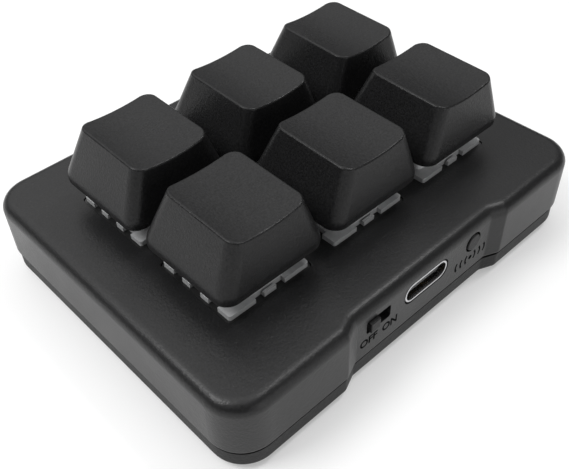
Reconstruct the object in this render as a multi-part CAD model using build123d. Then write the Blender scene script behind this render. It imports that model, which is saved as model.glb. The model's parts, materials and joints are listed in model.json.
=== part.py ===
from build123d import *
import os

# Macro keypad with six sprung keys in two rows of three, millimetres.
# X runs along the long side, -Y is the connector side, +Z is up.
# The origin is on the desk, under the middle of the case.

# Key layout
key_columns = 3
key_rows = 2
key_pitch = 19.05
key_travel = 4.0

# Case: a tall top shell over a shallow bottom cover, with a groove where they meet
case_margin_x = 7.325
case_margin_y = 9.55
case_length = key_columns * key_pitch + 2 * case_margin_x
case_width = key_rows * key_pitch + 2 * case_margin_y
case_corner_radius = 5.5
case_height = 12.95
cover_height = 3.25
cover_inset = 0.3
groove_height = 0.35
groove_depth = 0.5
case_wall = 2.2
top_edge_fillet = 1.8
shell_hem_fillet = 0.6
cover_floor = 1.5
cover_rim = 2.4
cover_edge_fillet = 0.8
cover_shoulder_fillet = 0.08
lip_height = 1.2
lip_thickness = 0.8
lip_gap = 0.1
cut_overrun = 1.0

# Shallow full-height recess on the connector side, with sloped ends
recess_floor = 28.5
recess_slope = 2.45
recess_mouth = recess_floor + 2 * recess_slope
recess_depth = 1.05
recess_blend = 0.9

# Pocket in the ceiling over the connectors, inside the recess
pocket_rise = 1.0
pocket_depth = 8.6

# Corner screws, their bosses in the shell and pillars in the cover
screw_inset = 5.9
boss_diameter = 5.2
boss_foot_rise = 0.55
screw_diameter = 2.0
screw_length = 7.2
screw_head_diameter = 3.6
screw_head_height = 1.3
screw_head_sink = 0.3
screw_drive_span = 1.9
screw_drive_width = 0.5
screw_drive_depth = 0.7
screw_play = 0.05
screw_hole_play = 0.15
screw_tip_room = 0.6

# Round rubber feet in shallow seats
foot_diameter = 8.0
foot_protrusion = 0.8
foot_seat = 0.5
foot_edge_fillet = 0.3
foot_play = 0.1
foot_inset_x = 13.9
foot_inset_y = 6.9

# Key switch seat in the case top
flange_sink = 0.15
seat_play = 0.1
switch_plate = 1.5

# Switch lower housing
housing_size = 13.8
housing_depth = 4.5
housing_hole_play = 0.1
housing_floor = 1.2
housing_wall = 1.2
housing_cavity = housing_size - 2 * housing_wall
housing_cavity_radius = 0.8
flange_lip = 0.4
flange_size = housing_size + 2 * flange_lip
flange_thickness = 1.0
flange_corner_radius = 0.6
post_diameter = 4.0
post_length = 3.3
post_end = 0.6
collar_height = 0.8
peg_diameter = 1.6
peg_length = 2.2
peg_offset_share = 0.368
peg_offset = peg_offset_share * housing_size
latch_width = 4.0
latch_reach = 0.35
latch_height = 1.2
latch_gap = 0.05

# Switch upper housing: a notched rim, a hood and a flat panel on its long sides
rim_inset = 0.3
rim_size = flange_size - 2 * rim_inset
rim_height = 0.8
rim_corner_radius = 0.4
long_notch_offset = 1.8
long_notch_width = 1.5
long_notch_depth = 0.95
tab_groove_width = 0.3
tab_groove_depth = 0.5
short_notch_offset = 3.65
short_notch_width = 1.9
short_notch_middle = 2.2
short_notch_depth = 0.75
hood_height = 5.6
hood_inset_x = 1.0
hood_inset_y = 1.7
hood_lean_x = 0.6
hood_lean_y = 0.3
hood_base_x = housing_size - 2 * hood_inset_x
hood_base_y = housing_size - 2 * hood_inset_y
hood_top_x = hood_base_x - 2 * hood_lean_x
hood_top_y = hood_base_y - 2 * hood_lean_y
hood_corner_radius = 0.7
hood_wall = 0.9
hood_roof = 1.2
hood_panel_width = 6.8
hood_panel_inset = 0.65
hood_panel_lean = 0.2
hood_panel_height = 4.6
hood_panel_base_y = housing_size - 2 * hood_panel_inset
hood_panel_top_y = hood_panel_base_y - 2 * hood_panel_lean

# Switch stem, guided by the hood
stem_stop_play_x = 0.3
stem_stop_play_y = 0.7
stem_stop_x = hood_top_x - 2 * (hood_wall + stem_stop_play_x)
stem_stop_y = hood_top_y - 2 * (hood_wall + stem_stop_play_y)
stem_stop_height = 2.5
stem_stop_gap = 0.1
stem_ledge_x = 0.4
stem_ledge_y = 0.2
stem_window_x = stem_stop_x - 2 * stem_ledge_x
stem_window_y = stem_stop_y - 2 * stem_ledge_y
stem_window_play = 0.3
stem_block_x = stem_window_x - 2 * stem_window_play
stem_block_y = stem_window_y - 2 * stem_window_play
stem_block_rise = 0.3
spring_cup_share = 0.893
spring_cup_diameter = spring_cup_share * stem_block_y
spring_cup_roof = 2.4
stem_rod_share = 0.4
stem_rod_diameter = stem_rod_share * spring_cup_diameter
stem_rod_play = 0.2
stem_rod_tip_rise = 0.2
post_bore = stem_rod_diameter + 2 * stem_rod_play
stem_cross_height = 3.7

# Switch coil spring, in the cup of the stem and round the collar of the housing
spring_wire = 0.3
spring_mean_share = 0.82
spring_mean_diameter = spring_mean_share * spring_cup_diameter
spring_turns = 7
spring_seat_gap = 0.02
collar_share = 0.78
collar_diameter = collar_share * spring_mean_diameter

# Switch contacts
contact_thickness = 0.3
contact_pin_width = 0.9
contact_pin_drop = 3.3
contact_plate_width = 2.6
contact_plate_rise = 3.4
contact_slot_play = 0.1
contact_foot_rise = 0.3
contact_hole = 1.5
fixed_pin_x_share = 0.184
fixed_pin_y_share = 0.368
leaf_pin_x_share = -0.276
leaf_pin_y_share = 0.184
leaf_plate_y_share = 0.326
fixed_pin_x = fixed_pin_x_share * housing_size
fixed_pin_y = fixed_pin_y_share * housing_size
leaf_pin_x = leaf_pin_x_share * housing_size
leaf_pin_y = leaf_pin_y_share * housing_size
leaf_plate_y = leaf_plate_y_share * housing_size

# Keycap: a low upright skirt, then sides that lean in to a dished top
cap_gap = 1.45
cap_base_size = key_pitch - cap_gap
cap_base_radius = 2.2
cap_foot_tuck = 0.12
cap_skirt_height = 1.0
cap_skirt_blend = 3.0
cap_side_lean = 2.8
cap_front_lean = 0.7
cap_back_lean = 3.1
cap_top_x = cap_base_size - 2 * cap_side_lean
cap_top_y = cap_base_size - cap_front_lean - cap_back_lean
cap_top_shift = (cap_front_lean - cap_back_lean) / 2
cap_top_radius = 1.8
cap_top_tilt = 1.7
cap_height = 9.15
cap_press_gap = 0.45
cap_wall = 1.0
cap_roof = 1.9
cap_inner_radius = 0.8
cap_dish_depth = 0.7
cap_rim_fillet = 0.3
cap_post_share = 0.887
cap_post_diameter = cap_post_share * stem_window_y
cap_socket_play = 0.05
cap_socket_end_gap = 0.1
stem_cross_span_share = 0.727
stem_cross_arm_share = 0.3
stem_cross_span = stem_cross_span_share * cap_post_diameter
stem_cross_arm = stem_cross_arm_share * stem_cross_span

# Circuit board
pcb_thickness = 1.6
pcb_gap = 0.3
pcb_corner_radius = 0.8
pcb_hole_play = 0.1
pcb_rest_diameter = 3.0
pcb_rest_inset = 5.5
pcb_rest_spread = 16.0

# USB-C receptacle
usb_shell_width = 8.94
usb_shell_height = 3.26
usb_shell_wall = 0.27
usb_shell_depth = 7.35
usb_corner_radius = 1.6
usb_face_sink = 0.05
usb_opening_play = 0.2
usb_tongue_width = 6.7
usb_tongue_thickness = 0.7
usb_tongue_sink = 0.6
usb_base_depth = 1.8
usb_fit_play = 0.02
usb_contact_count = 12
usb_contact_pitch = 0.5
usb_contact_width = 0.25
usb_contact_thickness = 0.05
usb_contact_set_back = 0.5
usb_contact_root_gap = 0.78
usb_tongue_reach = usb_shell_depth - usb_shell_wall - usb_tongue_sink - usb_base_depth
usb_contact_length = usb_tongue_reach - usb_contact_set_back - usb_contact_root_gap
usb_leg_width = 1.1
usb_leg_thickness = 0.3
usb_leg_drop = 2.2
usb_leg_front = 2.6
usb_leg_spread = 3.6

# Slide power switch
power_x = -9.95
power_window_width = 4.7
power_window_height = 2.3
power_window_radius = 0.4
power_travel = 2.0
power_frame_length = 8.6
power_frame_depth = 4.4
power_frame_headroom = 0.7
power_frame_height = housing_depth + pocket_rise - switch_plate - power_frame_headroom
power_frame_sheet = 0.25
power_frame_gap = 0.4
power_base_height = 0.6
power_base_gap = 0.05
power_knob_width = 1.8
power_knob_height = 1.75
power_knob_proud = 0.5
power_knob_fillet = 0.15
power_carriage_length = 4.4
power_carriage_depth = 3.0
power_carriage_gap = 0.1
power_slot_play = 0.3
power_pin_count = 3
power_pin_pitch = 2.5
power_pin_size = 0.5
power_pin_drop = 2.6
power_pin_rise = 0.3

# Connect button and the side tact switch behind it
connect_x = 10.45
connect_rise = 2.05
connect_diameter = 2.75
connect_ring_gap = 0.3
connect_face_proud = 0.2
connect_face_fillet = 0.2
connect_collar_length = 5.0
connect_collar_height = 2.6
connect_collar_thickness = 0.7
connect_collar_gap = 0.1
connect_travel = 0.4
tact_body_length = 6.0
tact_body_depth = 3.4
tact_body_headroom = 0.7
tact_body_height = housing_depth + pocket_rise - switch_plate - tact_body_headroom
tact_plunger_diameter = 1.8
tact_plunger_stand = 0.9
tact_plunger_seat = 0.8
tact_bore_play = 0.15
tact_leg_width = 0.7
tact_leg_thickness = 0.3
tact_leg_drop = 2.2
tact_leg_rise = 1.0

# Battery, its tape and its leads
battery_side_gap = 0.6
battery_head_gap = 0.9
battery_edge_share = 0.33
tape_thickness = 0.3
tape_margin = 1.5
lead_diameter = 0.9
lead_spacing = 2.0
lead_reach = 5.0
lead_bend_share = 0.63

# Small parts soldered to the board, in two rows behind the keys
near_row_share = 0.3
far_row_share = 0.72
controller_size = 4.0
controller_height = 0.85
charger_length = 2.9
charger_width = 1.6
charger_height = 1.1
charger_lead_count = 3
charger_lead_pitch = 0.95
charger_lead_width = 0.4
charger_lead_reach = 0.6
charger_lead_thickness = 0.15
charger_x = -6.5
crystal_length = 3.2
crystal_width = 2.5
crystal_height = 0.7
crystal_x = 5.2
diode_length = 2.7
diode_width = 1.5
diode_height = 1.0
diode_spacing = 6.0
chip_length = 1.6
chip_width = 0.8
chip_height = 0.6
chip_spacing = 2.0
chip_count = 6
chip_row_x = 15.5

# Heights
z_cover = foot_protrusion
z_cover_floor = z_cover + cover_floor
z_parting = z_cover + cover_height
z_case_top = z_cover + case_height
z_flange = z_case_top - flange_sink
z_plate = z_flange - flange_thickness
z_ceiling = z_plate - switch_plate
z_pcb = z_plate - housing_depth
z_pcb_under = z_pcb - pcb_thickness
z_boss_foot = z_parting + boss_foot_rise
z_housing_floor = z_pcb + housing_floor
z_hood_top = z_flange + hood_height
z_stem_stop = z_hood_top - hood_roof - stem_stop_gap
z_cap = z_flange + key_travel + cap_press_gap
z_stem_shoulder = z_hood_top + stem_block_rise
z_spring_top = z_stem_shoulder - spring_cup_roof
z_usb = z_pcb + usb_shell_height / 2
z_power = z_pcb + power_base_height + (power_frame_height - power_base_height - power_frame_sheet) / 2
z_connect = z_pcb + connect_rise

# Places along the connector side
y_panel = -case_width / 2 + recess_depth
y_inner_wall = -case_width / 2 + case_wall
y_power_frame = y_inner_wall + power_frame_gap
y_collar = y_inner_wall + connect_collar_gap
y_plunger = y_collar + connect_collar_thickness
y_tact_body = y_plunger + tact_plunger_stand

inner_length = case_length - 2 * case_wall
inner_width = case_width - 2 * case_wall
inner_radius = case_corner_radius - case_wall
boss_x = case_length / 2 - screw_inset
boss_y = case_width / 2 - screw_inset
pcb_length = inner_length - 2 * pcb_gap
pcb_width = inner_width - 2 * pcb_gap
y_behind_keys = ((key_rows - 1) * key_pitch + housing_size) / 2
near_row_y = y_behind_keys + near_row_share * (pcb_width / 2 - y_behind_keys)
far_row_y = y_behind_keys + far_row_share * (pcb_width / 2 - y_behind_keys)


def block(size_x, size_y, z_low, z_high, x=0, y=0):
    return Pos(x, y, z_low) * extrude(Rectangle(size_x, size_y), z_high - z_low)


def rounded_block(size_x, size_y, radius, z_low, z_high, x=0, y=0):
    return Pos(x, y, z_low) * extrude(RectangleRounded(size_x, size_y, radius), z_high - z_low)


def rod(diameter, z_low, z_high, x=0, y=0):
    return Pos(x, y, z_low) * extrude(Circle(diameter / 2), z_high - z_low)


def side_plane(x, y, z):
    # Drawn looking at the connector side: right is +X, up is +Z, out is -Y
    return Plane(origin=(x, y, z), x_dir=(1, 0, 0), z_dir=(0, -1, 0))


def key_places():
    for row in range(key_rows):
        for column in range(key_columns):
            x = (column - (key_columns - 1) / 2) * key_pitch
            y = (row - (key_rows - 1) / 2) * key_pitch
            yield row * key_columns + column + 1, x, y


def corner_places(x, y):
    return [(sx * x, sy * y) for sx in (-1, 1) for sy in (-1, 1)]


# Case outline

def case_outline(inset):
    y_mouth = -case_width / 2 + inset
    y_floor = y_mouth + recess_depth
    recess = Polygon(
        (-recess_mouth / 2, y_mouth - cut_overrun),
        (recess_mouth / 2, y_mouth - cut_overrun),
        (recess_mouth / 2, y_mouth),
        (recess_floor / 2, y_floor),
        (-recess_floor / 2, y_floor),
        (-recess_mouth / 2, y_mouth),
        align=None,
    )
    outline = RectangleRounded(
        case_length - 2 * inset, case_width - 2 * inset, case_corner_radius - inset
    )
    outline = outline - recess
    straight_end = case_length / 2 - case_corner_radius - cut_overrun
    corners = outline.vertices().filter_by(lambda v: abs(v.X) < straight_end and v.Y < 0)
    return fillet(corners, recess_blend)


# Top shell

def make_top_case():
    shell = Pos(0, 0, z_parting) * extrude(case_outline(0), z_case_top - z_parting)
    shell = fillet(shell.faces().sort_by(Axis.Z)[-1].edges(), top_edge_fillet)
    shell = fillet(shell.faces().sort_by(Axis.Z)[0].edges(), shell_hem_fillet)
    shell -= rounded_block(
        inner_length, inner_width, inner_radius, z_parting - cut_overrun, z_ceiling
    )
    y_pocket = y_inner_wall + pocket_depth / 2
    shell -= block(recess_mouth, pocket_depth, z_parting, z_ceiling + pocket_rise, 0, y_pocket)
    for x, y in corner_places(boss_x, boss_y):
        shell += rod(boss_diameter, z_boss_foot, z_ceiling + switch_plate / 2, x, y)
        pilot_top = z_cover + screw_head_sink + screw_head_height + screw_length + screw_tip_room
        shell -= rod(screw_diameter + 2 * screw_play, z_boss_foot - cut_overrun, pilot_top, x, y)
    seat = flange_size + 2 * seat_play
    hole = housing_size + 2 * housing_hole_play
    for _, x, y in key_places():
        shell -= rounded_block(
            seat, seat, flange_corner_radius, z_plate, z_case_top + cut_overrun, x, y
        )
        shell -= block(hole, hole, z_ceiling - cut_overrun, z_plate + cut_overrun, x, y)
    shell -= make_side_openings()
    return shell


def make_side_openings():
    reach = case_wall + cut_overrun
    window = extrude(
        side_plane(power_x, y_inner_wall, z_power)
        * RectangleRounded(power_window_width, power_window_height, power_window_radius),
        reach,
        both=True,
    )
    socket = extrude(
        side_plane(0, y_inner_wall, z_usb)
        * RectangleRounded(
            usb_shell_width + 2 * usb_opening_play,
            usb_shell_height + 2 * usb_opening_play,
            usb_corner_radius,
        ),
        reach,
        both=True,
    )
    button = extrude(
        side_plane(connect_x, y_inner_wall, z_connect) * Circle(connect_diameter / 2 + connect_ring_gap),
        reach,
        both=True,
    )
    return window + socket + button


# Bottom cover

def make_bottom_cover():
    shoulder = cover_height - groove_height
    cover = Pos(0, 0, z_cover) * extrude(case_outline(cover_inset), shoulder)
    cover = fillet(cover.faces().sort_by(Axis.Z)[0].edges(), cover_edge_fillet)
    cover = fillet(cover.faces().sort_by(Axis.Z)[-1].edges(), cover_shoulder_fillet)
    cover += Pos(0, 0, z_cover_floor) * extrude(
        case_outline(cover_inset + groove_depth), z_parting - z_cover_floor
    )
    rim = cover_inset + cover_rim
    cover -= rounded_block(
        case_length - 2 * rim,
        case_width - 2 * rim,
        case_corner_radius - rim,
        z_cover_floor,
        z_parting + cut_overrun,
    )
    lip_outer = rounded_block(
        inner_length - 2 * lip_gap,
        inner_width - 2 * lip_gap,
        inner_radius - lip_gap,
        z_cover_floor,
        z_parting + lip_height,
    )
    lip_inner = rounded_block(
        inner_length - 2 * (lip_gap + lip_thickness),
        inner_width - 2 * (lip_gap + lip_thickness),
        inner_radius - lip_gap - lip_thickness,
        z_cover_floor - cut_overrun,
        z_parting + lip_height + cut_overrun,
    )
    cover += lip_outer - lip_inner
    for x, y in corner_places(case_length / 2 - pcb_rest_inset, pcb_rest_spread / 2):
        cover += rod(pcb_rest_diameter, z_cover_floor - cover_floor / 2, z_pcb_under, x, y)
    head_seat = z_cover + screw_head_sink + screw_head_height
    for x, y in corner_places(boss_x, boss_y):
        cover += rod(boss_diameter, z_cover_floor - cover_floor / 2, z_boss_foot, x, y)
        cover -= rod(screw_head_diameter + 2 * screw_hole_play, z_cover - cut_overrun, head_seat, x, y)
        cover -= rod(screw_diameter + 2 * screw_hole_play, z_cover, z_boss_foot + cut_overrun, x, y)
    for x, y in foot_places():
        cover -= rod(foot_diameter + 2 * foot_play, z_cover - cut_overrun, z_cover + foot_seat, x, y)
    return cover


def foot_places():
    return corner_places(case_length / 2 - foot_inset_x, case_width / 2 - foot_inset_y)


# Fasteners and feet

def make_case_screws():
    z_head = z_cover + screw_head_sink
    z_seat = z_head + screw_head_height
    screw = rod(screw_head_diameter, z_head, z_seat) + rod(screw_diameter, z_seat, z_seat + screw_length)
    screw -= block(screw_drive_span, screw_drive_width, z_head, z_head + screw_drive_depth)
    screw -= block(screw_drive_width, screw_drive_span, z_head, z_head + screw_drive_depth)
    return [Pos(x, y, 0) * screw for x, y in corner_places(boss_x, boss_y)]


def make_rubber_feet():
    foot = rod(foot_diameter, 0, z_cover + foot_seat)
    foot = fillet(foot.edges().sort_by(Axis.Z)[0], foot_edge_fillet)
    return [Pos(x, y, 0) * foot for x, y in foot_places()]


# Circuit board

def make_pcb():
    board = rounded_block(pcb_length, pcb_width, pcb_corner_radius, z_pcb_under, z_pcb)
    low, high = z_pcb_under - cut_overrun, z_pcb + cut_overrun
    notch = boss_diameter / 2 + pcb_gap
    for x, y in corner_places(boss_x, boss_y):
        reach_x = pcb_length / 2 - abs(x) + notch
        reach_y = pcb_width / 2 - abs(y) + notch
        corner_x = (pcb_length / 2 - reach_x / 2) * (1 if x > 0 else -1)
        corner_y = (pcb_width / 2 - reach_y / 2) * (1 if y > 0 else -1)
        board -= block(reach_x + pcb_gap, reach_y + pcb_gap, low, high, corner_x, corner_y)
    for _, x, y in key_places():
        board -= rod(post_diameter + 2 * pcb_hole_play, low, high, x, y)
        for side in (-1, 1):
            board -= rod(peg_diameter + 2 * pcb_hole_play, low, high, x + side * peg_offset, y)
        board -= rod(contact_hole, low, high, x + fixed_pin_x, y + fixed_pin_y)
        board -= rod(contact_hole, low, high, x + leaf_pin_x, y + leaf_pin_y)
    for x, y in usb_leg_places():
        board -= block(
            usb_leg_thickness + 2 * pcb_hole_play, usb_leg_width + 2 * pcb_hole_play, low, high, x, y
        )
    for x, y in power_pin_places():
        hole = power_pin_size + 2 * pcb_hole_play
        board -= block(hole, hole, low, high, x, y)
    for x, y in tact_leg_places():
        board -= block(
            tact_leg_thickness + 2 * pcb_hole_play, tact_leg_width + 2 * pcb_hole_play, low, high, x, y
        )
    return board


def make_controller_chip(x, y):
    return block(controller_size, controller_size, z_pcb, z_pcb + controller_height, x, y)


def make_charger_chip(x, y):
    body = block(charger_length, charger_width, z_pcb, z_pcb + charger_height, x, y)
    for side in (-1, 1):
        for number in range(charger_lead_count):
            lead_x = x + (number - (charger_lead_count - 1) / 2) * charger_lead_pitch
            lead_y = y + side * (charger_width + charger_lead_reach) / 2
            body += block(
                charger_lead_width, charger_lead_reach, z_pcb, z_pcb + charger_lead_thickness, lead_x, lead_y
            )
    return body


def make_crystal(x, y):
    return block(crystal_length, crystal_width, z_pcb, z_pcb + crystal_height, x, y)


def make_key_diodes(y):
    count = key_columns * key_rows
    places = [(number - (count - 1) / 2) * diode_spacing for number in range(count)]
    return [block(diode_length, diode_width, z_pcb, z_pcb + diode_height, x, y) for x in places]


def make_chip_row(middle_x, y):
    places = [middle_x + (number - (chip_count - 1) / 2) * chip_spacing for number in range(chip_count)]
    return [block(chip_width, chip_length, z_pcb, z_pcb + chip_height, x, y) for x in places]


# Key switch, built over one key centre

def make_lower_housing():
    body = block(housing_size, housing_size, z_pcb, z_plate)
    body += rounded_block(flange_size, flange_size, flange_corner_radius, z_plate, z_flange)
    body -= rounded_block(
        housing_cavity, housing_cavity, housing_cavity_radius, z_housing_floor, z_flange + cut_overrun
    )
    body += rod(collar_diameter, z_housing_floor, z_housing_floor + collar_height)
    body += rod(post_diameter, z_pcb - post_length, z_pcb)
    body -= rod(post_bore, z_pcb - post_length + post_end, z_housing_floor + collar_height + cut_overrun)
    for side in (-1, 1):
        body += rod(peg_diameter, z_pcb - peg_length, z_pcb, side * peg_offset)
        body += make_latch(side)
    slot_width = contact_pin_width + 2 * contact_slot_play
    slot_depth = contact_thickness + 2 * contact_slot_play
    for x, y in ((fixed_pin_x, fixed_pin_y), (leaf_pin_x, leaf_pin_y)):
        body -= block(slot_width, slot_depth, z_pcb - cut_overrun, z_housing_floor + cut_overrun, x, y)
    return body


def make_latch(side):
    z_top = z_plate - switch_plate - latch_gap
    x_wall = side * housing_size / 2
    profile = Polygon(
        (x_wall, z_top),
        (x_wall + side * latch_reach, z_top),
        (x_wall, z_top - latch_height),
        align=None,
    )
    return extrude(side_plane(0, 0, 0) * profile, latch_width / 2, both=True)


def make_upper_housing():
    rim = rounded_block(rim_size, rim_size, rim_corner_radius, z_flange, z_flange + rim_height)
    low, high = z_flange - cut_overrun, z_flange + rim_height + cut_overrun
    edge = rim_size / 2
    for side in (-1, 1):
        for step in (-1, 1):
            rim -= block(
                long_notch_width, 2 * long_notch_depth, low, high, step * long_notch_offset, side * edge
            )
            rim -= block(
                2 * short_notch_depth, short_notch_width, low, high, side * edge, step * short_notch_offset
            )
        rim -= block(2 * short_notch_depth, short_notch_middle, low, high, side * edge, 0)
        y_groove = side * (hood_panel_base_y + tab_groove_width) / 2
        z_groove = z_flange + rim_height - tab_groove_depth
        rim -= block(2 * long_notch_offset, tab_groove_width, z_groove, high, 0, y_groove)
    hood = tapered_block(hood_base_x, hood_base_y, hood_top_x, hood_top_y, z_flange, z_hood_top)
    panel = tapered_block(
        hood_panel_width, hood_panel_base_y, hood_panel_width, hood_panel_top_y,
        z_flange, z_flange + hood_panel_height,
    )
    shrink = 2 * hood_wall
    hollow = tapered_block(
        hood_base_x - shrink, hood_base_y - shrink, hood_top_x - shrink, hood_top_y - shrink,
        z_flange - cut_overrun, z_hood_top - hood_roof,
    )
    window = block(stem_window_x, stem_window_y, z_flange, z_hood_top + cut_overrun)
    return rim + hood + panel - hollow - window


def tapered_block(base_x, base_y, top_x, top_y, z_low, z_high):
    base = Pos(0, 0, z_low) * RectangleRounded(base_x, base_y, hood_corner_radius)
    top = Pos(0, 0, z_high) * RectangleRounded(top_x, top_y, hood_corner_radius)
    return loft([base, top])


def cross(span, arm, z_low, z_high):
    return block(span, arm, z_low, z_high) + block(arm, span, z_low, z_high)


def make_stem():
    z_stop_low = z_stem_stop - stem_stop_height
    z_tip = z_housing_floor + stem_rod_tip_rise
    stem = block(stem_block_x, stem_block_y, z_stop_low, z_stem_shoulder)
    stem += block(stem_stop_x, stem_stop_y, z_stop_low, z_stem_stop)
    stem -= rod(spring_cup_diameter, z_stop_low - cut_overrun, z_spring_top)
    stem += rod(stem_rod_diameter, z_tip, z_spring_top)
    stem += cross(stem_cross_span, stem_cross_arm, z_stem_shoulder, z_stem_shoulder + stem_cross_height)
    return stem


def make_spring():
    z_low = z_housing_floor + spring_seat_gap + spring_wire / 2
    z_high = z_spring_top - spring_seat_gap - spring_wire / 2
    height = z_high - z_low
    path = Helix(height / spring_turns, height, spring_mean_diameter / 2)
    wire = Plane(origin=path @ 0, z_dir=path % 0) * Circle(spring_wire / 2)
    return Pos(0, 0, z_low) * sweep(wire, path)


def make_fixed_contact():
    pin = block(
        contact_pin_width, contact_thickness, z_pcb - contact_pin_drop, z_housing_floor,
        fixed_pin_x, fixed_pin_y,
    )
    plate = block(
        contact_plate_width, contact_thickness, z_housing_floor, z_housing_floor + contact_plate_rise,
        fixed_pin_x, fixed_pin_y,
    )
    return pin + plate


def make_contact_leaf():
    z_foot = z_housing_floor + contact_foot_rise
    pin = block(
        contact_pin_width, contact_thickness, z_pcb - contact_pin_drop, z_foot, leaf_pin_x, leaf_pin_y
    )
    foot_low = leaf_pin_y - contact_thickness / 2
    foot_high = leaf_plate_y + contact_thickness / 2
    foot = block(
        contact_pin_width, foot_high - foot_low, z_housing_floor, z_foot,
        leaf_pin_x, (foot_low + foot_high) / 2,
    )
    leaf = block(
        contact_plate_width, contact_thickness, z_housing_floor, z_housing_floor + contact_plate_rise,
        leaf_pin_x, leaf_plate_y,
    )
    return pin + foot + leaf


# Keycap, built over one key centre

def make_keycap():
    top_plane = Plane(origin=(0, cap_top_shift, z_cap + cap_height)).rotated((cap_top_tilt, 0, 0))
    foot_size = cap_base_size - 2 * cap_foot_tuck
    foot = Pos(0, 0, z_cap) * RectangleRounded(foot_size, foot_size, cap_base_radius)
    skirt = Pos(0, 0, z_cap + cap_skirt_height) * RectangleRounded(
        cap_base_size, cap_base_size, cap_base_radius
    )
    top = top_plane * RectangleRounded(cap_top_x, cap_top_y, cap_top_radius)
    cap = loft([foot, skirt], ruled=True) + loft([skirt, top], ruled=True)
    _, _, bend_edges = cap.edges().group_by(Axis.Z)[:3]
    cap = fillet(bend_edges, cap_skirt_blend)
    dish_radius = ((cap_top_x / 2) ** 2 + cap_dish_depth ** 2) / (2 * cap_dish_depth)
    dish_plane = Plane(
        origin=top_plane.origin + top_plane.z_dir * (dish_radius - cap_dish_depth),
        x_dir=top_plane.x_dir,
        z_dir=top_plane.y_dir,
    )
    cap -= extrude(dish_plane * Circle(dish_radius), cap_top_y, both=True)
    cap = fillet(top_rim_edges(cap), cap_rim_fillet)
    cap -= make_cap_hollow()
    cap += make_cap_post()
    return cap


def top_rim_edges(cap):
    dished = cap.faces().filter_by(GeomType.CYLINDER).sort_by(SortBy.AREA)[-1]
    return dished.outer_wire().edges()


def make_cap_hollow():
    z_roof = z_cap + cap_height - cap_roof
    z_skirt = z_cap + cap_skirt_height
    lean_share = (z_roof - z_skirt) / (cap_height - cap_skirt_height)
    inner_base = cap_base_size - 2 * (cap_foot_tuck + cap_wall)
    inner_x = inner_base + (cap_top_x - cap_base_size) * lean_share
    inner_y = inner_base + (cap_top_y - cap_base_size) * lean_share
    base_outline = RectangleRounded(inner_base, inner_base, cap_inner_radius)
    roof_outline = RectangleRounded(inner_x, inner_y, cap_inner_radius)
    upright = Pos(0, 0, z_cap) * extrude(base_outline, cap_skirt_height)
    roof = Pos(0, cap_top_shift * lean_share, z_roof) * roof_outline
    return upright + loft([Pos(0, 0, z_skirt) * base_outline, roof])


def make_cap_post():
    z_roof = z_cap + cap_height - cap_roof
    post = rod(cap_post_diameter, z_stem_shoulder, z_roof)
    z_socket_end = z_stem_shoulder + stem_cross_height + cap_socket_end_gap
    span = stem_cross_span + 2 * cap_socket_play
    arm = stem_cross_arm + 2 * cap_socket_play
    return post - cross(span, arm, z_stem_shoulder, z_socket_end)


# USB-C receptacle

def usb_leg_places():
    y_front = y_panel + usb_face_sink + usb_leg_front
    places = []
    for y in (y_front, y_front + usb_leg_spread):
        for side in (-1, 1):
            places.append((side * (usb_shell_width - usb_leg_thickness) / 2, y))
    return places


def usb_profile(shrink):
    return RectangleRounded(
        usb_shell_width - 2 * shrink, usb_shell_height - 2 * shrink, usb_corner_radius - shrink
    )


def make_usb_shell():
    y_mouth = y_panel + usb_face_sink
    mouth = side_plane(0, y_mouth, z_usb)
    shell = extrude(mouth * usb_profile(0), -usb_shell_depth)
    shell -= extrude(mouth * usb_profile(usb_shell_wall), usb_shell_wall - usb_shell_depth)
    for x, y in usb_leg_places():
        shell += block(usb_leg_thickness, usb_leg_width, z_pcb - usb_leg_drop, z_usb, x, y)
    return shell


def make_usb_tongue():
    y_back = y_panel + usb_face_sink + usb_shell_depth - usb_shell_wall
    base_profile = usb_profile(usb_shell_wall + usb_fit_play)
    base = extrude(side_plane(0, y_back, z_usb) * base_profile, usb_base_depth)
    tongue_length = usb_shell_depth - usb_shell_wall - usb_tongue_sink
    tongue = extrude(
        side_plane(0, y_back, z_usb) * Rectangle(usb_tongue_width, usb_tongue_thickness), tongue_length
    )
    return base + tongue


def make_usb_contacts():
    y_tip = y_panel + usb_face_sink + usb_tongue_sink + usb_contact_set_back
    contacts = []
    for side in (-1, 1):
        z_face = z_usb + side * usb_tongue_thickness / 2
        z_low = min(z_face, z_face + side * usb_contact_thickness)
        for number in range(usb_contact_count):
            x = (number - (usb_contact_count - 1) / 2) * usb_contact_pitch
            contacts.append(
                block(
                    usb_contact_width, usb_contact_length, z_low, z_low + usb_contact_thickness,
                    x, y_tip + usb_contact_length / 2,
                )
            )
    return contacts


# Slide power switch, drawn with its knob at the OFF end

def power_pin_places():
    y = y_power_frame + power_frame_depth / 2
    middle = (power_pin_count - 1) / 2
    return [(power_x + (number - middle) * power_pin_pitch, y) for number in range(power_pin_count)]


def make_power_switch_base():
    inset = power_frame_sheet + power_base_gap
    return block(
        power_frame_length - 2 * inset, power_frame_depth - 2 * inset, z_pcb, z_pcb + power_base_height,
        power_x, y_power_frame + power_frame_depth / 2,
    ) - make_power_pins(pcb_hole_play)


def make_power_pins(play):
    size = power_pin_size + 2 * play
    z_top = z_pcb + power_pin_rise + play
    pins = [block(size, size, z_pcb - power_pin_drop, z_top, x, y) for x, y in power_pin_places()]
    return Compound(children=pins)


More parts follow.
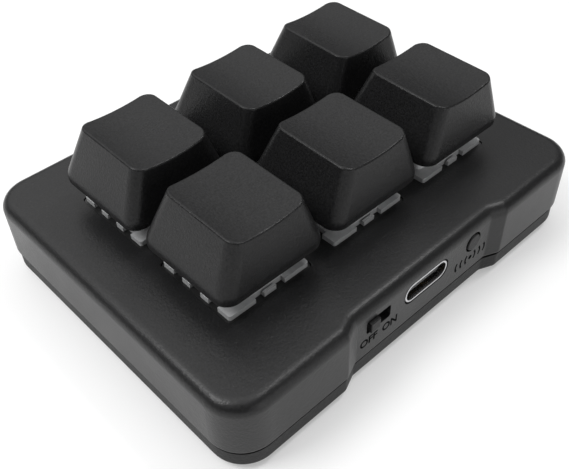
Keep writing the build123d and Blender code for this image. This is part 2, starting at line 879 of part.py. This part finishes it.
def make_power_switch_frame():
    y_middle = y_power_frame + power_frame_depth / 2
    z_top = z_pcb + power_frame_height
    sheet = power_frame_sheet
    frame = block(power_frame_length, power_frame_depth, z_pcb, z_top, power_x, y_middle)
    frame -= block(
        power_frame_length - 2 * sheet, power_frame_depth - 2 * sheet, z_pcb - cut_overrun, z_top - sheet,
        power_x, y_middle,
    )
    slot = Rectangle(
        power_knob_width + power_travel + 2 * power_slot_play, power_knob_height + power_carriage_gap
    )
    frame -= extrude(side_plane(power_x, y_power_frame, z_power) * slot, sheet + cut_overrun, both=True)
    return frame


def make_power_switch_knob():
    x_off = power_x - power_travel / 2
    y_carriage = y_power_frame + power_frame_sheet + power_carriage_gap
    z_low = z_pcb + power_base_height + power_carriage_gap
    z_high = z_pcb + power_frame_height - power_frame_sheet - power_carriage_gap
    knob = block(
        power_carriage_length, power_carriage_depth, z_low, z_high,
        x_off, y_carriage + power_carriage_depth / 2,
    )
    y_face = y_panel - power_knob_proud
    outline = Rectangle(power_knob_width, power_knob_height)
    stub = extrude(side_plane(x_off, y_carriage, z_power) * outline, y_carriage - y_face)
    stub = fillet(stub.faces().sort_by(Axis.Y)[0].edges(), power_knob_fillet)
    return knob + stub


# Connect button and tact switch

def tact_leg_places():
    y = y_tact_body + tact_body_depth / 2
    reach = (tact_body_length + tact_leg_thickness) / 2
    return [(connect_x + side * reach, y) for side in (-1, 1)]


def make_connect_button():
    y_face = y_panel - connect_face_proud
    stub = extrude(
        side_plane(connect_x, y_collar, z_connect) * Circle(connect_diameter / 2), y_collar - y_face
    )
    stub = fillet(stub.faces().sort_by(Axis.Y)[0].edges(), connect_face_fillet)
    collar = extrude(
        side_plane(connect_x, y_plunger, z_connect)
        * Rectangle(connect_collar_length, connect_collar_height),
        connect_collar_thickness,
    )
    return stub + collar


def make_tact_plunger():
    y_back = y_tact_body + tact_plunger_seat
    return extrude(
        side_plane(connect_x, y_back, z_connect) * Circle(tact_plunger_diameter / 2),
        tact_plunger_stand + tact_plunger_seat,
    )


def make_tact_switch_body():
    body = block(
        tact_body_length, tact_body_depth, z_pcb, z_pcb + tact_body_height,
        connect_x, y_tact_body + tact_body_depth / 2,
    )
    bore_depth = tact_plunger_seat + connect_travel + tact_bore_play
    bore = Circle(tact_plunger_diameter / 2 + tact_bore_play)
    return body - extrude(side_plane(connect_x, y_tact_body, z_connect) * bore, -bore_depth)


def make_tact_legs():
    return [
        block(tact_leg_thickness, tact_leg_width, z_pcb - tact_leg_drop, z_pcb + tact_leg_rise, x, y)
        for x, y in tact_leg_places()
    ]


# Battery in the lane between the two rows of switch pins

lane_low = -key_pitch / 2 + fixed_pin_y + contact_hole / 2
lane_high = key_pitch / 2 - post_diameter / 2
battery_y = (lane_low + lane_high) / 2
battery_width = lane_high - lane_low - 2 * battery_side_gap
battery_length = (key_columns - 1) * key_pitch
z_battery = z_cover_floor + tape_thickness
battery_thickness = z_pcb_under - battery_head_gap - z_battery
battery_edge_fillet = battery_edge_share * battery_thickness
z_lead = z_battery + battery_thickness / 2


def make_battery():
    cell = block(battery_length, battery_width, z_battery, z_battery + battery_thickness, 0, battery_y)
    return fillet(cell.edges().filter_by(Axis.X), battery_edge_fillet)


def make_battery_tape():
    return block(
        battery_length - 2 * tape_margin, battery_width - 2 * battery_edge_fillet, z_cover_floor, z_battery,
        0, battery_y,
    )


def make_battery_lead(side):
    y = battery_y + side * lead_spacing / 2
    x_start = battery_length / 2
    path = FilletPolyline(
        (x_start, y, z_lead),
        (x_start + lead_reach, y, z_lead),
        (x_start + lead_reach, y, z_pcb_under),
        radius=lead_bend_share * (z_pcb_under - z_lead),
    )
    section = Plane(origin=path @ 0, z_dir=path % 0) * Circle(lead_diameter / 2)
    return sweep(section, path)


# Write every piece

def save(shape, node):
    if isinstance(shape, list):
        shape = Compound(children=shape)
    shape.label = node
    export_step(shape, f"parts/{node}.step")


def main():
    os.makedirs("parts", exist_ok=True)
    save(make_top_case(), "top_case")
    save(make_bottom_cover(), "bottom_cover")
    save(make_case_screws(), "case_screws")
    save(make_rubber_feet(), "rubber_feet")
    save(make_pcb(), "circuit_board")

    per_key = {
        "keycap": make_keycap(),
        "switch_stem": make_stem(),
        "switch_spring": make_spring(),
        "upper_housing": make_upper_housing(),
        "lower_housing": make_lower_housing(),
    }
    for number, x, y in key_places():
        for name, shape in per_key.items():
            save(Pos(x, y, 0) * shape, f"{name}_{number}")
    fixed_contact = make_fixed_contact()
    contact_leaf = make_contact_leaf()
    save([Pos(x, y, 0) * fixed_contact for _, x, y in key_places()], "fixed_contacts")
    save([Pos(x, y, 0) * contact_leaf for _, x, y in key_places()], "contact_leaves")

    save(make_controller_chip(0, near_row_y), "controller_chip")
    save(make_charger_chip(charger_x, near_row_y), "charger_chip")
    save(make_crystal(crystal_x, near_row_y), "crystal")
    save(make_key_diodes(far_row_y), "key_diodes")
    save(make_chip_row(-chip_row_x, near_row_y), "capacitors")
    save(make_chip_row(chip_row_x, near_row_y), "resistors")

    save(make_usb_shell(), "usb_shell")
    save(make_usb_tongue(), "usb_tongue")
    save(make_usb_contacts(), "usb_contacts")
    save(make_power_switch_base(), "power_switch_base")
    save(make_power_switch_frame(), "power_switch_frame")
    save(make_power_switch_knob(), "power_switch_knob")
    save(make_power_pins(0), "power_switch_pins")
    save(make_connect_button(), "connect_button")
    save(make_tact_plunger(), "tact_plunger")
    save(make_tact_switch_body(), "tact_switch_body")
    save(make_tact_legs(), "tact_switch_legs")
    save(make_battery(), "battery")
    save(make_battery_tape(), "battery_tape")
    save(make_battery_lead(-1), "battery_lead_black")
    save(make_battery_lead(1), "battery_lead_red")


main()
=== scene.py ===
import bpy
import json
import math
from mathutils import Matrix, Vector


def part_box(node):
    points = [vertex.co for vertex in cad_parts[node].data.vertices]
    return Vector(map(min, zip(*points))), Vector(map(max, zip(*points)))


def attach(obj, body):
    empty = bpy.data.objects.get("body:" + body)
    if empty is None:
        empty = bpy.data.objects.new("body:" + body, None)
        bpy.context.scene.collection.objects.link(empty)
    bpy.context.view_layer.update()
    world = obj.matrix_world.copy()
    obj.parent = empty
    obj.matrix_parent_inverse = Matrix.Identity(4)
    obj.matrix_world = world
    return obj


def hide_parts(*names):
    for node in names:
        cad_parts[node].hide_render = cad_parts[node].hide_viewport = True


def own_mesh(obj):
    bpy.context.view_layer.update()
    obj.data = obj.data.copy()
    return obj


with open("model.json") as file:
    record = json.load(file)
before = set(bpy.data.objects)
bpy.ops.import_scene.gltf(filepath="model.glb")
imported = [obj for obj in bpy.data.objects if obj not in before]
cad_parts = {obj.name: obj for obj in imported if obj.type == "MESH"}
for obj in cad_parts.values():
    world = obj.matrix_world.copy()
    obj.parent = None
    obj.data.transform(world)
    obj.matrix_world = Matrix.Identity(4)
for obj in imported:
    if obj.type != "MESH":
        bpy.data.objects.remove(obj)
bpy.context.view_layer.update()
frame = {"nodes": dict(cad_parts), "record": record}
nodes = frame["nodes"]
scene = bpy.context.scene
mm = 0.001
keyNumbers = range(1, 7)
print("frame loaded,", len(nodes), "nodes")


def screenColour(red, green, blue):
    # 0 to 255 as seen on screen, to the linear value a shader takes
    def linear(c):
        c /= 255
        return c / 12.92 if c <= 0.04045 else ((c + 0.055) / 1.055) ** 2.4
    return (linear(red), linear(green), linear(blue), 1)


def shade(colour, factor):
    return tuple(min(1, c * factor) for c in colour[:3]) + (1,)


# Shared effects, built once and placed in each finish

def newGroup(name, inputs, outputs):
    group = bpy.data.node_groups.new(name, "ShaderNodeTree")
    for socketName, kind, value in inputs:
        socket = group.interface.new_socket(socketName, in_out="INPUT", socket_type=kind)
        socket.default_value = value
    for socketName, kind in outputs:
        group.interface.new_socket(socketName, in_out="OUTPUT", socket_type=kind)
    return group, group.nodes.new("NodeGroupInput"), group.nodes.new("NodeGroupOutput")


def mathNode(tree, operation, first, second):
    node = tree.nodes.new("ShaderNodeMath")
    node.operation = operation
    for index, value in enumerate((first, second)):
        if isinstance(value, (int, float)):
            node.inputs[index].default_value = value
        else:
            tree.links.new(value, node.inputs[index])
    return node.outputs[0]


def rangeNode(tree, value, fromRange=(0, 1), toRange=(0, 1), blend="LINEAR"):
    node = tree.nodes.new("ShaderNodeMapRange")
    node.interpolation_type = blend
    node.inputs["From Min"].default_value, node.inputs["From Max"].default_value = fromRange
    node.inputs["To Min"].default_value, node.inputs["To Max"].default_value = toRange
    tree.links.new(value, node.inputs["Value"])
    return node.outputs["Result"]


def noiseNode(tree, vector, scale, detail, rough):
    node = tree.nodes.new("ShaderNodeTexNoise")
    node.inputs["Detail"].default_value = detail
    node.inputs["Roughness"].default_value = rough
    tree.links.new(vector, node.inputs["Vector"])
    tree.links.new(scale, node.inputs["Scale"])
    return node.outputs["Fac"]


def objectCoords(tree):
    return tree.nodes.new("ShaderNodeTexCoord").outputs["Object"]


grainMix = {
    "detail": 3.0, "rough": 0.6, "fleckFrom": (0.32, 0.68),
    "pebbleScale": 0.7, "pebbleShare": 0.45,
}


def makeMouldGrain():
    # the spark-eroded pebble of a moulding tool; Per Metre is how many pebbles lie in a metre
    group, source, result = newGroup(
        "mouldGrain",
        [("Per Metre", "NodeSocketFloat", 4000.0)],
        [("Height", "NodeSocketFloat"), ("Fleck", "NodeSocketFloat")],
    )
    where, perMetre = objectCoords(group), source.outputs["Per Metre"]
    fine = noiseNode(group, where, perMetre, grainMix["detail"], grainMix["rough"])
    pebble = group.nodes.new("ShaderNodeTexVoronoi")
    pebble.feature = "SMOOTH_F1"
    group.links.new(where, pebble.inputs["Vector"])
    group.links.new(mathNode(group, "MULTIPLY", perMetre, grainMix["pebbleScale"]), pebble.inputs["Scale"])
    sunk = mathNode(group, "MULTIPLY", pebble.outputs["Distance"], grainMix["pebbleShare"])
    group.links.new(mathNode(group, "SUBTRACT", fine, sunk), result.inputs["Height"])
    group.links.new(rangeNode(group, fine, grainMix["fleckFrom"]), result.inputs["Fleck"])
    return group


handlingMix = {
    "detail": 4.0, "rough": 0.55, "patchFrom": (0.3, 0.7),
    "speckScale": 45.0, "speckDetail": 1.0, "speckRough": 0.4, "dustFrom": (0.70, 0.80),
}


def makeHandling():
    # broad patches where fingers and cloths have polished or dusted a surface
    group, source, result = newGroup(
        "handling",
        [("Per Metre", "NodeSocketFloat", 60.0)],
        [("Patch", "NodeSocketFloat"), ("Dust", "NodeSocketFloat")],
    )
    where, perMetre = objectCoords(group), source.outputs["Per Metre"]
    broad = noiseNode(group, where, perMetre, handlingMix["detail"], handlingMix["rough"])
    group.links.new(rangeNode(group, broad, handlingMix["patchFrom"]), result.inputs["Patch"])
    speckScale = mathNode(group, "MULTIPLY", perMetre, handlingMix["speckScale"])
    specks = noiseNode(group, where, speckScale, handlingMix["speckDetail"], handlingMix["speckRough"])
    group.links.new(rangeNode(group, specks, handlingMix["dustFrom"]), result.inputs["Dust"])
    return group


mouldGrain = makeMouldGrain()
handling = makeHandling()
print("shared effects ready")


def placeGroup(tree, group, perMetre):
    node = tree.nodes.new("ShaderNodeGroup")
    node.node_tree = group
    node.inputs["Per Metre"].default_value = perMetre
    return node


def newMaterial(name):
    material = bpy.data.materials.new(name)
    material.use_nodes = True
    tree = material.node_tree
    return material, tree, tree.nodes["Principled BSDF"]


def mixColours(tree, factor, first, second):
    node = tree.nodes.new("ShaderNodeMix")
    node.data_type = "RGBA"
    tree.links.new(factor, node.inputs["Factor"])
    for value, socket in ((first, node.inputs["A"]), (second, node.inputs["B"])):
        if isinstance(value, tuple):
            socket.default_value = value
        else:
            tree.links.new(value, socket)
    return node.outputs["Result"]


def addBump(tree, shader, height, depth):
    bump = tree.nodes.new("ShaderNodeBump")
    bump.inputs["Strength"].default_value = 1.0
    bump.inputs["Distance"].default_value = depth
    tree.links.new(height, bump.inputs["Height"])
    tree.links.new(bump.outputs["Normal"], shader.inputs["Normal"])


def mouldedPlastic(name, look):
    material, tree, shader = newMaterial(name)
    grain = placeGroup(tree, mouldGrain, 1 / look["grainSize"])
    hands = placeGroup(tree, handling, 1 / look["patchSize"])
    dark = shade(look["colour"], 1 - look["toneSpread"])
    light = shade(look["colour"], 1 + look["toneSpread"])
    tone = mixColours(tree, grain.outputs["Fleck"], dark, light)
    dusted = mathNode(tree, "MULTIPLY", hands.outputs["Dust"], look["dust"])
    tree.links.new(mixColours(tree, dusted, tone, look["dustColour"]), shader.inputs["Base Color"])
    gloss = rangeNode(tree, hands.outputs["Patch"], toRange=look["roughness"])
    tree.links.new(gloss, shader.inputs["Roughness"])
    shader.inputs["IOR"].default_value = look["ior"]
    addBump(tree, shader, grain.outputs["Height"], look["grainDepth"])
    return material


def paleHousing(name, look):
    # painted shade: the notched rim is darkened below the hood, while the hood above keeps the plain pale
    # colour
    material = mouldedPlastic(name, look)
    tree = material.node_tree
    shader = tree.nodes["Principled BSDF"]
    spread = tree.nodes.new("ShaderNodeSeparateXYZ")
    tree.links.new(objectCoords(tree), spread.inputs[0])
    rise = rangeNode(tree, spread.outputs["Z"], look["rimTop"])
    plain = shader.inputs["Base Color"].links[0].from_socket
    # painted shade, multiplied into the rim's colour below the hood
    rimShade = tree.nodes.new("ShaderNodeMix")
    rimShade.data_type = "RGBA"
    rimShade.blend_type = "MULTIPLY"
    rimShade.inputs["Factor"].default_value = 1.0
    tree.links.new(plain, rimShade.inputs["A"])
    rimShade.inputs["B"].default_value = look["rimShadeTint"]
    tone = mixColours(tree, rise, rimShade.outputs["Result"], plain)
    tree.links.new(tone, shader.inputs["Base Color"])
    return material


def bareMetal(name, look):
    material, tree, shader = newMaterial(name)
    hands = placeGroup(tree, handling, 1 / look["patchSize"])
    grain = placeGroup(tree, mouldGrain, 1 / look["grainSize"])
    dark = shade(look["colour"], 1 - look["toneSpread"])
    tone = mixColours(tree, hands.outputs["Patch"], dark, look["colour"])
    tree.links.new(tone, shader.inputs["Base Color"])
    gloss = rangeNode(tree, grain.outputs["Fleck"], toRange=look["roughness"])
    tree.links.new(gloss, shader.inputs["Roughness"])
    shader.inputs["Metallic"].default_value = 1.0
    addBump(tree, shader, grain.outputs["Height"], look["grainDepth"])
    return material


paleDust = screenColour(150, 150, 148)

caseLook = {
    "colour": (0.0108, 0.0108, 0.0112, 1), "toneSpread": 0.35, "roughness": (0.30, 0.38), "ior": 1.39,
    "grainSize": 0.30 * mm, "grainDepth": 0.03 * mm, "patchSize": 16 * mm,
    "dust": 0.05, "dustColour": paleDust,
}
capLook = {
    "colour": (0.0132, 0.0132, 0.0136, 1), "toneSpread": 0.45, "roughness": (0.26, 0.33), "ior": 1.305,
    "grainSize": 0.26 * mm, "grainDepth": 0.035 * mm, "patchSize": 12 * mm,
    "dust": 0.04, "dustColour": paleDust,
}
coverLook = dict(caseLook, roughness=(0.50, 0.58), grainSize=0.36 * mm, grainDepth=0.07 * mm)
greyLook = {
    "colour": screenColour(240, 241, 242), "toneSpread": 0.05, "roughness": (0.28, 0.40), "ior": 1.5,
    "grainSize": 0.5 * mm, "grainDepth": 0.004 * mm, "patchSize": 4 * mm,
    "dust": 0.1, "dustColour": screenColour(120, 118, 114),
    # the rim tint darkens the housing's rim as painted shade
    "rimTop": (14.35 * mm, 14.6 * mm), "rimShadeTint": (0.56, 0.56, 0.56, 1),
}
blackHousingLook = {
    "colour": (0.010, 0.010, 0.010, 1), "toneSpread": 0.2, "roughness": (0.34, 0.48), "ior": 1.5,
    "grainSize": 0.4 * mm, "grainDepth": 0.004 * mm, "patchSize": 5 * mm,
    "dust": 0.08, "dustColour": paleDust,
}
knobLook = dict(capLook, roughness=(0.38, 0.5), grainSize=0.18 * mm, patchSize=3 * mm)
stemLook = dict(blackHousingLook, colour=screenColour(168, 44, 38), roughness=(0.2, 0.3))
socketLook = dict(blackHousingLook, colour=(0.008, 0.008, 0.008, 1), patchSize=2 * mm)
rubberLook = dict(
    caseLook, colour=(0.016, 0.016, 0.016, 1), roughness=(0.72, 0.85), grainSize=0.45 * mm, dust=0.25,
)
boardLook = dict(blackHousingLook, colour=screenColour(24, 74, 46), roughness=(0.25, 0.36), dust=0.0)
ceramicLook = dict(greyLook, colour=screenColour(176, 150, 112), dust=0.0)
tapeLook = dict(
    greyLook, colour=screenColour(222, 220, 212), roughness=(0.8, 0.9),
    grainSize=0.25 * mm, grainDepth=0.03 * mm,
)
leadBlackLook = dict(rubberLook, roughness=(0.45, 0.55), dust=0.0)
leadRedLook = dict(leadBlackLook, colour=screenColour(178, 30, 24))
screwLook = {
    "colour": (0.055, 0.055, 0.058, 1), "toneSpread": 0.4, "roughness": (0.32, 0.5),
    "grainSize": 0.2 * mm, "grainDepth": 0.004 * mm, "patchSize": 1.5 * mm,
}
socketSteelLook = {
    "colour": screenColour(214, 214, 216), "toneSpread": 0.2, "roughness": (0.18, 0.3),
    "grainSize": 0.15 * mm, "grainDepth": 0.0015 * mm, "patchSize": 1.5 * mm,
}
springLook = dict(socketSteelLook, colour=screenColour(190, 190, 192))
tinLook = dict(socketSteelLook, colour=screenColour(198, 198, 192), roughness=(0.3, 0.45))
goldLook = dict(socketSteelLook, colour=screenColour(214, 176, 96))
foilLook = dict(
    socketSteelLook, colour=screenColour(196, 198, 200), roughness=(0.35, 0.5),
    grainSize=0.8 * mm, grainDepth=0.02 * mm,
)

finishes = {
    "case_plastic": mouldedPlastic("caseGrain", caseLook),
    "cover_plastic": mouldedPlastic("coverGrain", coverLook),
    "keycap_plastic": mouldedPlastic("keycapGrain", capLook),
    "housing_grey": paleHousing("housingPaleGrey", greyLook),
    "housing_black": mouldedPlastic("housingBlack", blackHousingLook),
    "stem_plastic": mouldedPlastic("stemRed", stemLook),
    "spring_steel": bareMetal("springWire", springLook),
    "contact_metal": bareMetal("contactGold", goldLook),
    "usb_steel": bareMetal("socketSteel", socketSteelLook),
    "socket_plastic": mouldedPlastic("socketBlack", socketLook),
    "knob_plastic": mouldedPlastic("knobSatin", knobLook),
    "tinned_metal": bareMetal("tinnedLegs", tinLook),
    "board_laminate": mouldedPlastic("boardMask", boardLook),
    "ceramic_chip": mouldedPlastic("chipCeramic", ceramicLook),
    "screw_steel": bareMetal("screwBlackOxide", screwLook),
    "foot_rubber": mouldedPlastic("footRubber", rubberLook),
    "cell_foil": bareMetal("cellFoil", foilLook),
    "foam_tape": mouldedPlastic("foamTape", tapeLook),
    "lead_black": mouldedPlastic("leadBlack", leadBlackLook),
    "lead_red": mouldedPlastic("leadRed", leadRedLook),
}
for row in frame["record"]["subparts"]:
    mesh = nodes[row["node"]].data
    mesh.materials.clear()
    mesh.materials.append(finishes[row["material_slot"]])


def pieceFromCurve(name, curve, finish):
    line = bpy.data.objects.new(name + "Line", curve)
    mesh = bpy.data.meshes.new_from_object(line)
    mesh.materials.clear()
    mesh.materials.append(finish)
    piece = bpy.data.objects.new(name, mesh)
    scene.collection.objects.link(piece)
    bpy.data.objects.remove(line)
    return piece


# Coil springs, wound in place of the part file's springs

springCoil = {
    "wire": 0.15 * mm, "wireRounding": 3, "radius": 2.05 * mm, "turns": 7, "stepsPerTurn": 20,
    "travel": 4 * mm,
}


def makeSpring(number):
    node = "switch_spring_%d" % number
    low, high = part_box(node)
    middle = (low + high) / 2
    bottom, top = low.z + springCoil["wire"], high.z - springCoil["wire"]
    curve = bpy.data.curves.new("springLine%d" % number, "CURVE")
    curve.dimensions = "3D"
    curve.bevel_depth = springCoil["wire"]
    curve.bevel_resolution = springCoil["wireRounding"]
    curve.use_fill_caps = True
    steps = springCoil["turns"] * springCoil["stepsPerTurn"]
    spline = curve.splines.new("POLY")
    spline.points.add(steps)
    for step in range(steps + 1):
        angle = 2 * math.pi * springCoil["turns"] * step / steps
        spline.points[step].co = (
            middle.x + springCoil["radius"] * math.cos(angle),
            middle.y + springCoil["radius"] * math.sin(angle),
            bottom + (top - bottom) * step / steps,
            1,
        )
    spring = pieceFromCurve("coilSpring%d" % number, curve, finishes["spring_steel"])
    for polygon in spring.data.polygons:
        polygon.use_smooth = True
    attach(spring, "base")
    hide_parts(node)
    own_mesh(spring)


for number in keyNumbers:
    makeSpring(number)
print("springs wound")


# Small dark lettering on the recess panel, and a plain radio mark under the button

letterLook = {
    "colour": (0.0022, 0.0022, 0.0022, 1), "toneSpread": 0.2, "roughness": (0.5, 0.6), "ior": 1.05,
    "grainSize": 0.2 * mm, "grainDepth": 0.002 * mm, "patchSize": 2 * mm,
    "dust": 0.0, "dustColour": paleDust,
}
lettering = {
    "words": (("OFF", -11.75 * mm, 7.1 * mm), ("ON", -7.5 * mm, 7.1 * mm)),
    "size": 1.95 * mm, "swell": 0.06 * mm, "thickness": 0.01 * mm, "panelY": -27.55 * mm,
}
radioMark = {
    "x": 10.3 * mm, "z": 7.15 * mm, "dot": 0.38 * mm, "arcs": 3, "spacing": 1.15 * mm,
    "height": 1.6 * mm, "bend": 1.25 * mm, "stroke": 0.36 * mm, "steps": 12,
}
letterFinish = mouldedPlastic("letterInk", letterLook)


def placeInk(name, curve, x, z):
    curve.extrude = lettering["thickness"]
    ink = pieceFromCurve(name, curve, letterFinish)
    upright = Matrix.Rotation(math.radians(90), 4, "X")
    ink.matrix_world = Matrix.Translation((x, lettering["panelY"], z)) @ upright
    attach(ink, "base")


def makeWord(text, x, z):
    curve = bpy.data.curves.new("word" + text, "FONT")
    curve.body = text
    curve.align_x = "CENTER"
    curve.align_y = "CENTER"
    curve.size = lettering["size"]
    curve.offset = lettering["swell"]
    placeInk("word" + text, curve, x, z)


def arcOutline(side, reach):
    radius, half = radioMark["bend"], radioMark["stroke"] / 2
    spread = math.asin(radioMark["height"] / 2 / radius)
    turns = [spread * (2 * step / radioMark["steps"] - 1) for step in range(radioMark["steps"] + 1)]
    rim = [(radius + half, turn) for turn in turns] + [(radius - half, turn) for turn in reversed(turns)]
    return [(side * (reach - radius + r * math.cos(turn)), r * math.sin(turn)) for r, turn in rim]


def dotOutline():
    radius, steps = radioMark["dot"], 2 * radioMark["steps"]
    turns = [2 * math.pi * step / steps for step in range(steps)]
    return [(radius * math.cos(turn), radius * math.sin(turn)) for turn in turns]


def makeRadioMark():
    curve = bpy.data.curves.new("radioMark", "CURVE")
    curve.dimensions = "2D"
    curve.fill_mode = "BOTH"
    outlines = [dotOutline()]
    for number in range(1, radioMark["arcs"] + 1):
        outlines += [arcOutline(side, number * radioMark["spacing"]) for side in (-1, 1)]
    for outline in outlines:
        spline = curve.splines.new("POLY")
        spline.points.add(len(outline) - 1)
        spline.use_cyclic_u = True
        for point, (x, y) in zip(spline.points, outline):
            point.co = (x, y, 0, 1)
    placeInk("radioMark", curve, radioMark["x"], radioMark["z"])


for text, x, z in lettering["words"]:
    makeWord(text, x, z)
makeRadioMark()
print("lettering placed")


# Floor, light and camera

floorLook = {"size": 60.0, "colour": (0.92, 0.92, 0.92, 1), "roughness": 0.9, "whiteness": 0.35}


def makeFloor():
    half = floorLook["size"] / 2
    mesh = bpy.data.meshes.new("studioFloor")
    corners = [(-half, -half, 0), (half, -half, 0), (half, half, 0), (-half, half, 0)]
    mesh.from_pydata(corners, [], [(0, 1, 2, 3)])
    floor = bpy.data.objects.new("studioFloor", mesh)
    scene.collection.objects.link(floor)
    material, tree, shader = newMaterial("studioPaper")
    shader.inputs["Base Color"].default_value = floorLook["colour"]
    shader.inputs["Roughness"].default_value = floorLook["roughness"]
    shader.inputs["Specular IOR Level"].default_value = 0.0
    # part of the paper is plain white wherever it is looked at, the rest takes the light and the shadow
    white = tree.nodes.new("ShaderNodeEmission")
    path = tree.nodes.new("ShaderNodeLightPath")
    mirrored = mathNode(tree, "MAXIMUM", path.outputs["Is Glossy Ray"], path.outputs["Is Transmission Ray"])
    looked = mathNode(tree, "MAXIMUM", path.outputs["Is Camera Ray"], mirrored)
    blend = tree.nodes.new("ShaderNodeMixShader")
    tree.links.new(mathNode(tree, "MULTIPLY", looked, floorLook["whiteness"]), blend.inputs["Fac"])
    tree.links.new(shader.outputs["BSDF"], blend.inputs[1])
    tree.links.new(white.outputs["Emission"], blend.inputs[2])
    tree.links.new(blend.outputs["Shader"], tree.nodes["Material Output"].inputs["Surface"])
    mesh.materials.append(material)


makeFloor()

# a dim room under one broad bright ceiling
skyLook = {"dimToBright": (0.13, 1.7), "toward": (0.0, 0.35, 0.937), "sweep": (0.45, 1.05)}


def makeSky():
    world = bpy.data.worlds.new("studioRoom")
    scene.world = world
    world.use_nodes = True
    tree = world.node_tree
    back = tree.nodes["Background"]
    back.inputs["Color"].default_value = (1, 1, 1, 1)
    facing = tree.nodes.new("ShaderNodeVectorMath")
    facing.operation = "DOT_PRODUCT"
    tree.links.new(tree.nodes.new("ShaderNodeTexCoord").outputs["Generated"], facing.inputs[0])
    facing.inputs[1].default_value = Vector(skyLook["toward"]).normalized()
    light = rangeNode(tree, facing.outputs["Value"], skyLook["sweep"], skyLook["dimToBright"], "SMOOTHSTEP")
    tree.links.new(light, back.inputs["Strength"])


makeSky()

lampPlaces = {
    "softLeft": {"at": (-0.17, 0.06, 0.25), "aim": (0, 0, 0.01), "size": (0.12, 0.12), "watts": 0.40},
    "lowFront": {"at": (0.05, -0.50, 0.14), "aim": (0, 0, 0.015), "size": (0.3, 0.3), "watts": 0.40},
    "glintRight": {"at": (0.37, -0.12, 0.70), "aim": (0, 0, 0.01), "size": (0.1, 0.1), "watts": 1.3},
}
for name, place in lampPlaces.items():
    lamp = bpy.data.lights.new(name, "AREA")
    lamp.shape = "RECTANGLE"
    lamp.size, lamp.size_y = place["size"]
    lamp.energy = place["watts"]
    holder = bpy.data.objects.new(name, lamp)
    scene.collection.objects.link(holder)
    holder.location = place["at"]
    beam = Vector(place["aim"]) - Vector(place["at"])
    holder.rotation_euler = beam.to_track_quat("-Z", "Y").to_euler()

cameraPlace = {
    "azimuth": -41.905, "elevation": 43.789, "roll": -2.152, "distance": 96.44 * mm,
    "aim": (-16.98 * mm, -17.36 * mm, 23.34 * mm), "focalPixels": 784.4, "frameWidth": 569,
    "sensorWidth": 36, "nearest": 5 * mm,
}


def makeCamera():
    turn, rise, roll = (math.radians(cameraPlace[k]) for k in ("azimuth", "elevation", "roll"))
    back = Vector((math.sin(turn) * math.cos(rise), -math.cos(turn) * math.cos(rise), math.sin(rise)))
    right = Vector((0, 0, 1)).cross(back).normalized()
    up = back.cross(right)
    lensRight = right * math.cos(roll) + up * math.sin(roll)
    lensUp = up * math.cos(roll) - right * math.sin(roll)
    camera = bpy.data.cameras.new("photoCamera")
    camera.sensor_fit = "HORIZONTAL"
    camera.sensor_width = cameraPlace["sensorWidth"]
    camera.lens = cameraPlace["focalPixels"] / cameraPlace["frameWidth"] * cameraPlace["sensorWidth"]
    camera.clip_start = cameraPlace["nearest"]
    holder = bpy.data.objects.new("photoCamera", camera)
    scene.collection.objects.link(holder)
    eye = Vector(cameraPlace["aim"]) + back * cameraPlace["distance"]
    turned = Matrix((lensRight, lensUp, back)).transposed().to_4x4()
    holder.matrix_world = Matrix.Translation(eye) @ turned
    scene.camera = holder


makeCamera()
scene.view_settings.view_transform = "Standard"
print("studio ready")
